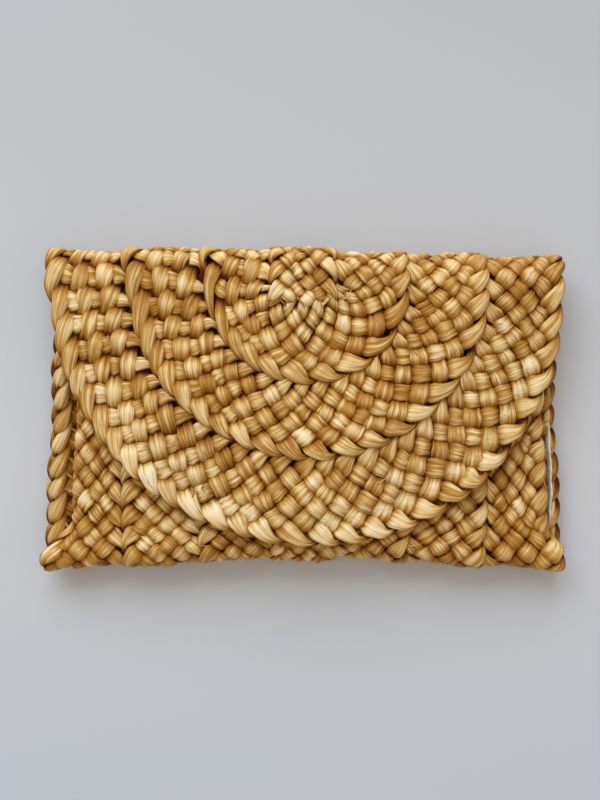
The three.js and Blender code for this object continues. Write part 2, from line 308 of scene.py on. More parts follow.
class Plait:
    # the run of one plait: maps (s, t) of the plait to the bag's (x, q)
    def __init__(self, name, index, seed):
        self.name = name
        self.index = index
        self.seed = seed
        self.isCentre = index == 3
        if self.isCentre:
            self.out = 0.5 * (backSeams[4] - backSeams[3])
            self.inn = -self.out
            self.length = way["arc"] + flapDepths[3] + 3
        else:
            self.out = backSeams[-1 - index]
            self.inn = backSeams[-2 - index]
            self.depthOut = flapDepths[index]
            self.depthIn = flapDepths[index + 1]
            self.leg = way["arc"]
            self.arcLength = math.pi * (self.out + self.inn + self.depthOut + self.depthIn) / 4
            self.length = 2 * self.leg + self.arcLength
        self.width = self.out - self.inn + plaitLook["overlap"]
        self.pitch = plaitLook["pitch"] * self.width / plaitLook["fullWidth"]

    def skew(self, s):
        if self.isCentre:
            return 0 * s
        return np.interp((s - self.leg) / self.arcLength, leanPlan["at"], leanPlan["lean"])

    def place(self, s, t):
        # t runs from -width/2 at the inner edge to width/2 at the outer one
        if self.isCentre:
            return frontX(t, s), s
        onLeft = s < self.leg
        onRight = s > self.leg + self.arcLength
        turn = math.pi * (1 + np.clip((s - self.leg) / self.arcLength, 0, 1))
        share = t / (self.out - self.inn)
        wide = (self.out + self.inn) / 2 + t
        deep = (self.depthOut + self.depthIn) / 2 + share * (self.depthOut - self.depthIn)
        arcX = np.cos(turn) * wide
        arcQ = way["arc"] - np.sin(turn) * deep
        x = np.where(onLeft, -wide, np.where(onRight, wide, arcX))
        q = np.where(onLeft, s, np.where(onRight, self.length - s, arcQ))
        return frontX(x, q), q


outerKeep = {"left": 0.8, "right": 0.76}     # how much of its width the front's outer plaits keep


def frontX(x, q):
    # the front panel is narrower than the back and sits a little to the right
    share = smooth((way["bottom"] - q) / 20)
    flat = list(frontSeams)
    flat[0] = frontSeams[1] - outerKeep["left"] * (backSeams[1] - backSeams[0])
    flat[-1] = frontSeams[-2] + outerKeep["right"] * (backSeams[-1] - backSeams[-2])
    moved = np.interp(x, backSeams, flat)
    beyond = np.minimum(x - backSeams[0], 0) + np.maximum(x - backSeams[-1], 0)
    return x + share * (moved + 0.8 * beyond - x)


cellNumbers = np.arange(-40, 360)


def cellDraws(seed, low, high):
    # one random value for each cell of a strand
    return np.random.default_rng(seed).uniform(low, high, len(cellNumbers))


def fullTurn(around):
    # the angles once round a tube, from its underside
    return np.linspace(-math.pi / 2, 1.5 * math.pi, around + 1)


def strandLine(plait, seed, m, count):
    # the middle of a strand, along and across its plait
    look = plaitLook
    nearTurn, fromTurn = turnNearness(count, look["strands"])
    s = m * plait.pitch / 2
    t = swing(count, look["strands"]) * (plait.width / 2)
    s = s + look["turnLean"] * nearTurn * smooth((fromTurn + 1.5) / 1.7)
    drift = look["drift"] * ripple(plait.seed * 7, s, t, 55)
    s = s + drift + look["jitter"] * ripple(seed + 1, m * 4, 0 * m, 17)
    t = t + look["jitter"] * (1 - nearTurn) * ripple(seed + 2, m * 4, 0 * m, 13)
    return s + plait.skew(s) * t, t


def strandSize(seed, draw, between, m, count, z):
    # its width and half its thickness; between is the distance from one strand to the next
    look = plaitLook
    nearTurn, fromTurn = turnNearness(count, look["strands"])
    over = 0.5 + 0.5 * z
    uneven = np.interp(count, cellNumbers, cellDraws(seed + 3, -1, 1))
    taper = np.sin(math.pi * 2 * (count - np.floor(count + 0.5)))    # wider where it comes up
    width = between * look["strandWidth"] * draw.uniform(0.95, 1.05) * (1 + look["uneven"] * uneven)
    width = width * (0.9 + 0.14 * over) * (1 - 0.07 * taper * over)
    folded = smooth(1 - np.abs(fromTurn - 0.1) / 1.05)
    width = width * (1 - (1 - look["turnWidth"]) * folded) * (1 - 0.08 * nearTurn)
    thick = look["halfThick"] * (0.72 + 0.4 * over) * draw.uniform(0.93, 1.1)
    thick = thick * (1 + 0.14 * ripple(seed + 4, m * 3, 0 * m, 9)) * (1 + 0.35 * nearTurn)
    return width, thick


def strandRings(plait, number):
    # every ring of one strand, from one end of the plait to the other
    look = plaitLook
    seed = plait.seed * 100 + number
    draw = np.random.default_rng(seed)
    pitch = plait.pitch
    half = plait.width / 2
    margin = 2 * pitch
    steps = look["stepsPerCell"]
    first = -margin / (pitch / 2)
    last = (plait.length + margin) / (pitch / 2)
    m = np.arange(math.floor(first * steps), math.ceil(last * steps) + 1) / steps
    count = m + 2 * number                       # its crossings, counted from one of its own turns
    z = weaveHeight(count, look["strands"])
    s, t = strandLine(plait, seed, m, count)
    ds, dt = np.gradient(s), np.gradient(t)
    size = np.hypot(ds, dt)
    between = pitch * plait.width / math.hypot(plait.width, pitch * look["strands"] / 2)
    width, thick = strandSize(seed, draw, between, m, count, z)
    angle = fullTurn(look["around"])
    cosA, sinA = np.cos(angle), np.sin(angle)
    v = np.sign(cosA) * np.abs(cosA) ** 0.85 * width[:, None] / 2
    h = np.sign(sinA) * np.abs(sinA) ** 0.8 * thick[:, None]
    along = m[:, None] * between * 0.75
    folds = ripple(seed + 5, v * 2.4, along * 0.2, 6.5) + 0.8 * ripple(seed + 6, v * 4.5, along * 0.3, 6.5)
    h = h + look["folds"] * folds * np.abs(sinA) ** 1.5
    ringS = s[:, None] - v * (dt / size)[:, None]
    ringT = t[:, None] + v * (ds / size)[:, None]
    heap = look["weave"] * z[:, None] + h
    share = ringT / half
    if plait.isCentre:
        heap = heap + look["centreRise"]
    else:
        outer = look["outerTilt"] if plait.index == 0 else look["edgeTilt"]
        heap = heap + np.where(share > 0, outer * share, look["edgeTilt"] * share)
    x, q = plait.place(ringS, ringT)
    stitch = stitchMask(plait, ringS, ringT, q)
    puffs = ripple(seed + 8, ringS, ringT, 3.2) * np.maximum(sinA, 0)
    heap = heap - look["stitchDip"] * stitch + 0.5 * stitch * puffs
    heap = heap - 2.2 * smooth((3.5 - q) / 3.5)          # the ends bend down at the mouth
    centreX, middle = plait.place(s, t)
    pale = chosenPale(centreX, middle, count, z, steps)
    cellTone = cellDraws(seed + 7, 0, 1)
    cellTone = np.where(cellTone > 1 - look["oddPale"], 2.0, cellTone)
    tone = np.interp(count, cellNumbers, cellTone)
    uvAround = 0 * along + angle * between / math.pi / 2 + number * 91
    height = np.where(sinA < 0, -1, 1) * (look["weave"] * z[:, None] + h)
    return {
        "points": onBag(x, q, heap), "q": middle, "s": s,
        "uv": np.stack([along + 0 * v + number * 37, uvAround], axis=-1) * mm,
        "tone": 0.7 * tone[:, None] + 0.3 * draw.uniform(0, 1) + 0 * v,
        # low where the strand dips under: it carries the shade painted into the hollows
        "depth": np.clip((height + 1.0) / 3.9, 0, 1),
        "stitch": stitch,
        "fade": fadedAndLit(x, q) + pale[:, None],
    }


def seamShadeRings(plait):
    # the strand that sews a plait's inner edge to the next one, under both, painted with the darkest shade
    # so the gap between the plaits reads as shadow
    look = plaitLook
    s = np.arange(-plait.pitch, plait.length + plait.pitch, 2.5)
    t = 0 * s + look["seamIn"] - plait.width / 2
    angle = fullTurn(8)
    ringT = t[:, None] + np.cos(angle) * look["seamWide"] / 2
    ringS = s[:, None] + 0 * ringT
    heap = np.sin(angle) * 0.35 - look["seamUnder"] + 0 * ringT
    x, q = plait.place(ringS, ringT)
    heap = heap - 1.5 * smooth((3.5 - q) / 3.5)
    flat = 0 * ringT
    return {
        "points": onBag(x, q, heap), "q": plait.place(s, t)[1], "s": s,
        "uv": np.stack([ringS, angle * look["seamWide"] / math.pi / 2 + flat], axis=-1) * mm,
        # low tone, depth and paleness: painted dark shade
        "tone": flat + 0.3, "depth": flat + 0.2, "stitch": flat, "fade": flat + 0.3,
    }


# x and y of cells of the flap that dried pale, and how much paler each is
paleCells = [(-26.5, 38.6, 0.18), (-14.0, 19.6, 0.28), (44.0, -66.0, 0.12), (8.0, -71.0, 0.10)]
paleReach = 4.0


def chosenPale(centreX, centreQ, count, z, steps):
    # a cell is pale as a whole, and is picked by where its middle is
    extra = np.zeros(len(count))
    cell = np.floor(count + 0.5)
    middle = np.clip(np.rint((cell - count[0]) * steps).astype(int), 0, len(count) - 1)
    y = bag["topY"] - (centreQ - way["flap"])
    for spotX, spotY, amount in paleCells:
        near = np.hypot(centreX[middle] - spotX, y[middle] - spotY) < paleReach
        extra = np.where(near & (z[middle] > 0.8), amount, extra)
    return extra


# the straw's paleness, and what is added to it in each of these areas: bleached husk, with painted light
# added on the flap's low edge
fadedAndLitLook = {"all": 0.36, "leftFront": 0.07, "flap": 0.048, "flapEdge": 0.13, "flapCorner": -0.02}


def fadedAndLit(x, q):
    # how much paler the straw is: partly where sun and handling bleached it, partly painted light where the
    # flap's low edge faces the light; the front stays brown, the flap's low edge is palest
    look = fadedAndLitLook
    y = bag["topY"] - (q - way["flap"])
    onFlap = smooth((q - way["middleOfTop"]) / 20)
    ring = np.hypot(x, np.minimum(y - bag["arcY"], 0))
    low = climb(ring, 105, 38) * smooth((20 - y) / 60) * (ring < 190)
    corner = climb(-x, 20, 120) * climb(y, -30, 80)
    leftFront = climb(-x, 20, 60) * (q < way["bottom"])
    onFlap = onFlap * (look["flap"] + look["flapEdge"] * low + look["flapCorner"] * corner)
    return look["all"] + look["leftFront"] * leftFront + onFlap


# how far inside the plait's outer edge the machine-sewn lines run, and how wide they press the straw
sewnLook = {"flapIn": 15.0, "flapWide": 3.0, "frontIn": 12.5, "frontWide": 2.2, "frontSlant": 0.1}


def stitchMask(plait, s, t, q):
    # the sewn lines go along the flap's edge, and down the front's right
    if plait.index > 0:
        return 0 * t
    look = sewnLook
    flapLine = plait.width / 2 - look["flapIn"]
    frontLine = plait.width / 2 - look["frontIn"] + look["frontSlant"] * (q - 95)
    onFlap = smooth((q - way["flap"]) / 8)
    onRight = (s > plait.length / 2) & (q < way["bottom"])
    onFront = bell(t, frontLine, look["frontWide"]) * onRight
    return bell(t, flapLine, look["flapWide"]) * onFlap + onFront


def ribbonInto(piece, rings, start, stop):
    # rings start to stop of a strand, as one closed tube
    rows, columns = stop - start, rings["points"].shape[1]
    work = bmesh.new()
    work.loops.layers.uv.new("UVMap")
    bmesh.ops.create_grid(work, x_segments=rows - 1, y_segments=columns - 1, size=1, calc_uvs=True)
    mesh = bpy.data.meshes.new("ribbon")
    work.to_mesh(mesh)
    work.free()
    grid = np.zeros(len(mesh.vertices) * 3, np.float32)
    mesh.vertices.foreach_get("co", grid)
    grid = grid.reshape(-1, 3)
    row = np.rint((grid[:, 0] + 1) / 2 * (rows - 1)).astype(int) + start
    column = np.rint((grid[:, 1] + 1) / 2 * (columns - 1)).astype(int)
    points = rings["points"][row, column % (columns - 1)] * mm
    mesh.vertices.foreach_set("co", points.astype(np.float32).ravel())
    corner = np.zeros(len(mesh.loops), np.int32)
    mesh.loops.foreach_get("vertex_index", corner)
    uv = rings["uv"][row[corner], column[corner]]
    mesh.uv_layers[0].data.foreach_set("uv", uv.astype(np.float32).ravel())
    for name in ("tone", "depth", "stitch", "fade"):
        layer = mesh.attributes.new(name, "FLOAT", "POINT")
        layer.data.foreach_set("value", rings[name][row, column % (columns - 1)].astype(np.float32))
    piece.from_mesh(mesh)
    bpy.data.meshes.remove(mesh)


def finishMesh(piece, name, material):
    mesh = bpy.data.meshes.new(name)
    piece.to_mesh(mesh)
    piece.free()
    mesh.polygons.foreach_set("use_smooth", np.ones(len(mesh.polygons), bool))
    mesh.materials.append(material)
    obj = bpy.data.objects.new(name, mesh)
    bpy.context.scene.collection.objects.link(obj)
    return obj


def closeTubes(piece):
    bmesh.ops.remove_doubles(piece, verts=piece.verts, dist=1e-6)
    rim = [e for e in piece.edges if e.is_boundary]
    bmesh.ops.holes_fill(piece, edges=rim, sides=0)
    bmesh.ops.recalc_face_normals(piece, faces=piece.faces)


def makePlait(plait, material):
    # cut into the front with the bottom turn, the back with half the top fold, and the flap
    cuts = {}
    strands = [strandRings(plait, number) for number in range(plaitLook["strands"])]
    if not plait.isCentre:
        strands.append(seamShadeRings(plait))
    for rings in strands:
        zone = np.select([rings["q"] < way["middleOfBottom"], rings["q"] < way["middleOfTop"]], [0, 1], 2)
        ends = rings["q"] < 0
        if plait.isCentre:
            ends = ends | (rings["q"] > plait.length)
        zone = np.where(ends, -1, zone)
        edges = [0] + list(np.nonzero(np.diff(zone))[0] + 1) + [len(zone)]
        for a, b in zip(edges[:-1], edges[1:]):
            if zone[a] < 0 or b - a < 3:
                continue
            right = rings["s"][(a + b) // 2] > plait.length / 2 and not plait.isCentre
            key = (int(zone[a]), bool(right) and zone[a] < 2)
            goesOn = b < len(zone) and zone[b] >= 0        # then it reaches the next zone's first ring
            cuts.setdefault(key, []).append((rings, a, b + 1 if goesOn else b))
    made = {}
    for key, runs in sorted(cuts.items()):
        piece = bmesh.new()
        for rings, a, stop in runs:
            ribbonInto(piece, rings, a, stop)
        closeTubes(piece)
        column = 7 - plait.index if key[1] else 1 + plait.index
        title = {0: f"frontPlait{column}", 1: f"backPlait{column}", 2: f"flapPlait{plait.name}"}[key[0]]
        made[title] = finishMesh(piece, title, material)
        rideOn(made[title], key[0], column, plait)
    return made


def rideOn(obj, zone, column, plait):
    if zone == 0:
        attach(obj, "pouch")
        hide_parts(f"front_plait_{column}", f"bottom_fold_plait_{column}")
    elif zone == 1:
        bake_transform(obj)
        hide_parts(f"back_plait_{column}", f"top_fold_plait_{column}")
    else:
        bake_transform(obj)
        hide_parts(f"flap_plait_{plait.name.lower()}")


def makeGroup(name, inputs, outputs):
    group = bpy.data.node_groups.new(name, "ShaderNodeTree")
    for title, kind, value in inputs:
        socket = group.interface.new_socket(title, in_out="INPUT", socket_type=kind)
        if value is not None:
            socket.default_value = value
    for title, kind in outputs:
        group.interface.new_socket(title, in_out="OUTPUT", socket_type=kind)
    source = group.nodes.new("NodeGroupInput")
    result = group.nodes.new("NodeGroupOutput")
    return group, source, result


def feed(tree, socket, value):
    # a number or a colour is set on the socket, and a node's output is linked to it
    if isinstance(value, (int, float)):
        socket.default_value = value
    elif isinstance(value, tuple):
        socket.default_value = (*value, 1)
    else:
        tree.links.new(value, socket)


def mathNode(tree, operation, a, b=None, c=None, clamp=False):
    node = tree.nodes.new("ShaderNodeMath")
    node.operation = operation
    node.use_clamp = clamp
    for slot, value in enumerate((a, b, c)):
        if value is not None:
            feed(tree, node.inputs[slot], value)
    return node.outputs[0]


def scaled(tree, vector, x, y, z):
    node = tree.nodes.new("ShaderNodeMapping")
    tree.links.new(vector, node.inputs["Vector"])
    node.inputs["Scale"].default_value = (x, y, z)
    return node.outputs[0]


def noise(tree, vector, scale, detail=3.0, rough=0.55, twist=0.0):
    node = tree.nodes.new("ShaderNodeTexNoise")
    tree.links.new(vector, node.inputs["Vector"])
    node.inputs["Scale"].default_value = scale
    node.inputs["Detail"].default_value = detail
    node.inputs["Roughness"].default_value = rough
    node.inputs["Distortion"].default_value = twist
    return node.outputs["Fac"]


def ramp(tree, value, stops):
    node = tree.nodes.new("ShaderNodeValToRGB")
    tree.links.new(value, node.inputs["Fac"])
    marks = node.color_ramp.elements
    while len(marks) < len(stops):
        marks.new(0.5)
    for mark, (place, colour) in zip(marks, stops):
        mark.position = place
        mark.color = (*colour, 1)
    return node.outputs["Color"]


def mixColour(tree, factor, a, b):
    node = tree.nodes.new("ShaderNodeMix")
    node.data_type = "RGBA"
    for slot, value in ((0, factor), (6, a), (7, b)):
        feed(tree, node.inputs[slot], value)
    return node.outputs[2]


def remap(tree, value, low, high, outLow=0.0, outHigh=1.0):
    node = tree.nodes.new("ShaderNodeMapRange")
    tree.links.new(value, node.inputs["Value"])
    for title, number in (("From Min", low), ("From Max", high), ("To Min", outLow), ("To Max", outHigh)):
        node.inputs[title].default_value = number
    return node.outputs["Result"]


def bumped(tree, height, strength, distance):
    node = tree.nodes.new("ShaderNodeBump")
    node.inputs["Strength"].default_value = strength
    node.inputs["Distance"].default_value = distance
    tree.links.new(height, node.inputs["Height"])
    return node.outputs["Normal"]


def attribute(tree, name):
    node = tree.nodes.new("ShaderNodeAttribute")
    node.attribute_name = name
    return node.outputs["Fac"]


def uvOf(tree):
    node = tree.nodes.new("ShaderNodeUVMap")
    node.uv_map = "UVMap"
    return node.outputs["UV"]


def objectPlace(tree):
    return tree.nodes.new("ShaderNodeTexCoord").outputs["Object"]


def newMaterial(name):
    material = bpy.data.materials.new(name)
    material.use_nodes = True
    tree = material.node_tree
    return material, tree, tree.nodes["Principled BSDF"]


def placeGroup(tree, group, **values):
    node = tree.nodes.new("ShaderNodeGroup")
    node.node_tree = group
    for title, value in values.items():
        feed(tree, node.inputs[title], value)
    return node


def endGroup(tree, result, **values):
    for title, value in values.items():
        tree.links.new(value, result.inputs[title])
    return tree


def fibreGroup():
    # the lines of a dried husk: fine fibres, wide streaks and the creases between its folds, the mask for
    # the shade painted into them
    tree, source, result = makeGroup(
        "huskFibres",
        [("Vector", "NodeSocketVector", None), ("Crease", "NodeSocketFloat", 0.5)],
        [("Fibre", "NodeSocketFloat"), ("Streak", "NodeSocketFloat"), ("Fold", "NodeSocketFloat"),
         ("Height", "NodeSocketFloat")],
    )
    vector = source.outputs["Vector"]
    fibre = noise(tree, scaled(tree, vector, 46, 2000, 1), 1, 4, 0.7)
    streak = noise(tree, scaled(tree, vector, 30, 460, 1), 1, 3, 0.6, 0.15)
    crease = noise(tree, scaled(tree, vector, 40, 800, 1), 1, 2, 0.5, 0.25)
    line = mathNode(tree, "ABSOLUTE", mathNode(tree, "SUBTRACT", crease, 0.5))
    patch = remap(tree, noise(tree, scaled(tree, vector, 70, 190, 1), 1, 1), 0.42, 0.6)
    fold = mathNode(tree, "MULTIPLY", remap(tree, line, 0.0, 0.028, 1, 0), patch)
    fold = mathNode(tree, "MULTIPLY", fold, source.outputs["Crease"])
    height = mathNode(tree, "MULTIPLY_ADD", fibre, 1.0, mathNode(tree, "MULTIPLY", streak, 0.7))
    height = mathNode(tree, "SUBTRACT", height, mathNode(tree, "MULTIPLY", fold, 0.03))
    return endGroup(tree, result, Fibre=fibre, Streak=streak, Fold=fold, Height=height)


def threadGroup():
    # plain woven cotton: two sets of threads over and under each other
    tree, source, result = makeGroup(
        "plainWeave",
        [("Vector", "NodeSocketVector", None), ("Threads", "NodeSocketFloat", 2200.0)],
        [("Height", "NodeSocketFloat"), ("Slub", "NodeSocketFloat")],
    )
    split = tree.nodes.new("ShaderNodeSeparateXYZ")
    tree.links.new(source.outputs["Vector"], split.inputs[0])
    across = mathNode(tree, "MULTIPLY", split.outputs[0], source.outputs["Threads"])
    down = mathNode(tree, "MULTIPLY", split.outputs[1], source.outputs["Threads"])
    warp = mathNode(tree, "ABSOLUTE", mathNode(tree, "SINE", mathNode(tree, "MULTIPLY", across, math.pi)))
    weft = mathNode(tree, "ABSOLUTE", mathNode(tree, "SINE", mathNode(tree, "MULTIPLY", down, math.pi)))
    odd = mathNode(tree, "ADD", mathNode(tree, "FLOOR", across), mathNode(tree, "FLOOR", down))
    odd = mathNode(tree, "PINGPONG", odd, 1.0)
    height = mathNode(tree, "MULTIPLY_ADD", mathNode(tree, "SUBTRACT", warp, weft), odd, weft)
    slub = noise(tree, scaled(tree, source.outputs["Vector"], 90, 900, 1), 1, 2)
    return endGroup(tree, result, Height=height, Slub=slub)


def wearGroup():
    # fine scratches and dull patches on metal
    tree, source, result = makeGroup(
        "handledMetal",
        [("Vector", "NodeSocketVector", None)],
        [("Scratch", "NodeSocketFloat"), ("Patch", "NodeSocketFloat")],
    )
    vector = source.outputs["Vector"]
    fine = noise(tree, scaled(tree, vector, 300, 4200, 300), 1, 2)
    patch = noise(tree, vector, 260, 4)
    return endGroup(tree, result, Scratch=fine, Patch=patch)


# linear colours, from the shade between the strands to the palest husk
strawLook = {
    "deep": (0.13, 0.030, 0.0015),
    "honey": (0.34, 0.122, 0.010),
    "tan": (0.50, 0.253, 0.055),
    "pale": (0.82, 0.575, 0.25),
    "cream": (0.95, 0.80, 0.53),
    # painted shade for the creases
    "line": (0.27, 0.095, 0.009),
    # painted shade for the hollows between the strands
    "creviceShade": (0.065, 0.012, 0.0005),
    "steps": (0.06, 0.30, 0.55, 0.78, 1.0),    # where the five shades from deep to cream stand
    "roughness": 0.46,
}


def strawMaterial(fibres):
    material, tree, shader = newMaterial("huskStraw")
    look = strawLook
    place = uvOf(tree)
    group = placeGroup(tree, fibres, Vector=place, Crease=0.85)
    depth = attribute(tree, "depth")
    stitch = attribute(tree, "stitch")
    cloud = noise(tree, objectPlace(tree), 26, 3)
    # the straw's paleness: bleached husk, with painted light on the flap's low edge
    level = attribute(tree, "fade")
    for value, gain, offset in (
        (group.outputs["Streak"], 0.62, -0.31),
        (group.outputs["Fibre"], 1.4, -0.7),
        (attribute(tree, "tone"), 0.3, -0.15),
        (cloud, 0.4, -0.2),
        # painted shade: darker where a strand dips under, lighter on its tops
        (depth, 0.92, -0.63),
        (stitch, 0.1, 0.0),
    ):
        level = mathNode(tree, "ADD", level, mathNode(tree, "MULTIPLY_ADD", value, gain, offset))
    shades = ("deep", "honey", "tan", "pale", "cream")
    colour = ramp(tree, level, [(place, look[shade]) for place, shade in zip(look["steps"], shades)])
    # painted shade in the husk's creases
    creaseShade = mathNode(tree, "MULTIPLY", group.outputs["Fold"], 0.6)
    colour = mixColour(tree, creaseShade, colour, look["line"])
    # painted shade in the hollows, where a strand dips under its neighbours; the same mask makes the
    # hollows rougher
    hollowShade = mathNode(tree, "MULTIPLY", remap(tree, depth, 0.58, 0.24), 0.97)
    colour = mixColour(tree, hollowShade, colour, look["creviceShade"])
    tree.links.new(colour, shader.inputs["Base Color"])
    crinkle = noise(tree, scaled(tree, place, 620, 900, 1), 1, 3, 0.6, 0.4)
    pressed = mathNode(tree, "MULTIPLY", crinkle, stitch)
    height = mathNode(tree, "MULTIPLY_ADD", pressed, 2.2, group.outputs["Height"])
    tree.links.new(bumped(tree, height, 1.0, 0.00055), shader.inputs["Normal"])
    rough = mathNode(tree, "MULTIPLY_ADD", group.outputs["Fibre"], 0.3, look["roughness"] - 0.1)
    rough = mathNode(tree, "MULTIPLY_ADD", hollowShade, 0.5, rough, clamp=True)
    tree.links.new(rough, shader.inputs["Roughness"])
    shader.inputs["Specular IOR Level"].default_value = 0.22
    shader.inputs["Specular Tint"].default_value = (1.0, 0.78, 0.46, 1)
    return material


liningLook = {"colour": (0.80, 0.73, 0.58), "dark": (0.66, 0.58, 0.43), "threads": 1700.0}


def cottonMaterial(weave):
    material, tree, shader = newMaterial("creamCotton")
    look = liningLook
    cloth = placeGroup(tree, weave, Vector=uvOf(tree), Threads=look["threads"])
    cloud = noise(tree, objectPlace(tree), 38, 4)
    slub = mathNode(tree, "MULTIPLY", cloth.outputs["Slub"], 0.35)
    shade = mathNode(tree, "MULTIPLY_ADD", cloud, 0.7, slub)
    shade = mathNode(tree, "ADD", shade, mathNode(tree, "MULTIPLY", cloth.outputs["Height"], 0.25))
    colour = ramp(tree, shade, [(0.35, look["dark"]), (0.75, look["colour"])])
    tree.links.new(colour, shader.inputs["Base Color"])
    height = mathNode(tree, "MULTIPLY_ADD", cloud, 3.0, cloth.outputs["Height"])
    tree.links.new(bumped(tree, height, 0.5, 0.0003), shader.inputs["Normal"])
    tree.links.new(remap(tree, cloth.outputs["Slub"], 0.3, 0.7, 0.82, 0.95), shader.inputs["Roughness"])
    shader.inputs["Sheen Weight"].default_value = 0.25
    return material


def metalMaterial(wear, name, bright, dull, low, high):
    material, tree, shader = newMaterial(name)
    marks = placeGroup(tree, wear, Vector=objectPlace(tree))
    colour = ramp(tree, marks.outputs["Patch"], [(0.35, dull), (0.6, bright)])
    tree.links.new(colour, shader.inputs["Base Color"])
    shader.inputs["Metallic"].default_value = 1.0
    tree.links.new(remap(tree, marks.outputs["Scratch"], 0.3, 0.7, low, high), shader.inputs["Roughness"])
    tree.links.new(bumped(tree, marks.outputs["Scratch"], 0.25, 0.00008), shader.inputs["Normal"])
    return material


threadLook = {"dark": (0.42, 0.30, 0.16), "pale": (0.70, 0.57, 0.36)}


def threadMaterial():
    material, tree, shader = newMaterial("sewingThread")
    ply = noise(tree, scaled(tree, uvOf(tree), 1400, 500, 1), 1, 2)
    colour = ramp(tree, ply, [(0.3, threadLook["dark"]), (0.7, threadLook["pale"])])
    tree.links.new(colour, shader.inputs["Base Color"])
    tree.links.new(bumped(tree, ply, 0.6, 0.0002), shader.inputs["Normal"])
    shader.inputs["Roughness"].default_value = 0.8
    return material


# the camera is in mm and looks straight down
view = {"x": -1.7, "y": 5.6, "height": 520, "across": 336, "level": 15}
light = {
    "window": 164.0,
    "windowColour": (0.71, 0.82, 0.98),
    "windowFrom": (-1.0, 2.9, 1.9),
    "windowSize": (4.2, 2.6),
    "room": 0.61,
    "roomColour": (1.0, 0.905, 0.79),
}
floorLook = {
    "dull": (0.585, 0.59, 0.60),
    "pale": (0.61, 0.615, 0.625),
    # painted shade towards the top of the floor
    "far": (0.41, 0.422, 0.43),
    # painted shadow below the bag, bluish
    "near": (0.535, 0.565, 0.615),
    "roughness": 0.55,
}


def makeCamera():
    camera = bpy.data.cameras.new("camera")
    camera.sensor_fit = "HORIZONTAL"
    camera.sensor_width = 36
    camera.lens = 36 * (view["height"] - view["level"]) / view["across"]
    obj = bpy.data.objects.new("camera", camera)
    obj.location = (view["x"] * mm, view["y"] * mm, view["height"] * mm)
    bpy.context.scene.collection.objects.link(obj)
    bpy.context.scene.camera = obj
    bpy.context.scene.view_settings.view_transform = "Standard"


def makeFloor():
    piece = bmesh.new()
    bmesh.ops.create_grid(piece, x_segments=2, y_segments=2, size=25)
    material, tree, shader = newMaterial("paleTable")
    cloud = noise(tree, objectPlace(tree), 3, 3)
    colour = ramp(tree, cloud, [(0.3, floorLook["dull"]), (0.7, floorLook["pale"])])
    split = tree.nodes.new("ShaderNodeSeparateXYZ")
    tree.links.new(objectPlace(tree), split.inputs[0])
    # painted shade: the floor darker towards the top
    colour = mixColour(tree, remap(tree, split.outputs[1], -0.02, 0.3, 0, 0.85), colour, floorLook["far"])
    # painted shadow: darker and bluer below the bag
    colour = mixColour(tree, remap(tree, split.outputs[1], -0.05, -0.2), colour, floorLook["near"])
    tree.links.new(colour, shader.inputs["Base Color"])
    shader.inputs["Roughness"].default_value = floorLook["roughness"]
    floor = finishMesh(piece, "floor", material)


def makeLights():
    # a wide soft window, aimed at the bag, and the room's warm fill
    lamp = bpy.data.lights.new("window", "AREA")
    lamp.shape = "RECTANGLE"
    lamp.size = light["windowSize"][0]
    lamp.size_y = light["windowSize"][1]
    lamp.energy = light["window"]
    lamp.color = light["windowColour"]
    window = bpy.data.objects.new("window", lamp)
    window.location = light["windowFrom"]
    window.rotation_euler = (-Vector(light["windowFrom"])).to_track_quat("-Z", "Y").to_euler()
    bpy.context.scene.collection.objects.link(window)
    world = bpy.data.worlds.new("room")
    bpy.context.scene.world = world
    world.use_nodes = True
    sky = world.node_tree.nodes["Background"]
    sky.inputs[0].default_value = (*light["roomColour"], 1)
    sky.inputs[1].default_value = light["room"]


liningPlan = {
    "under": 4.25,           # the lining's middle below the plaits' middle
    "thick": 0.7,
    "left": -129.5,
    "right": 131.0,
    "mouth": 2.5,            # below the front plaits' top edge
    "flapInset": 6.5,
    "step": 3.0,
    "pucker": 0.35,
    "pocketHalf": 60,
    "pocketLow": -60,
    "pocketHigh": 30,
    "pocketUnder": 5.3,
}


def liningDepth(x, q):
    # under the plaits, with small puckers, but flat over the snap's washer on the flap
    y = bag["topY"] - (q - way["flap"])
    snap = nearSnap(x, y, 20) * (q > way["flap"])
    return liningPlan["pucker"] * ripple(31, x, q, 33) * (1 - snap) - liningPlan["under"]


def pocketDepth(x, q):
    return -liningPlan["pocketUnder"] - 0.25 * ripple(37, x, q, 45) ** 2


def backAt(y):
    # the distance along the bag of a height on its back
    return way["back"] + y - bag["bottomY"]


def frontAt(y):
    return bag["mouth"] - y


def flapAt(y):
    return way["flap"] + bag["topY"] - y


def layFlat(piece, uvLayer, scale):
    # texture coordinates in metres, straight from x and y
    for face in piece.faces:
        for loop in face.loops:
            loop[uvLayer].uv = (loop.vert.co.x * scale, loop.vert.co.y * scale)


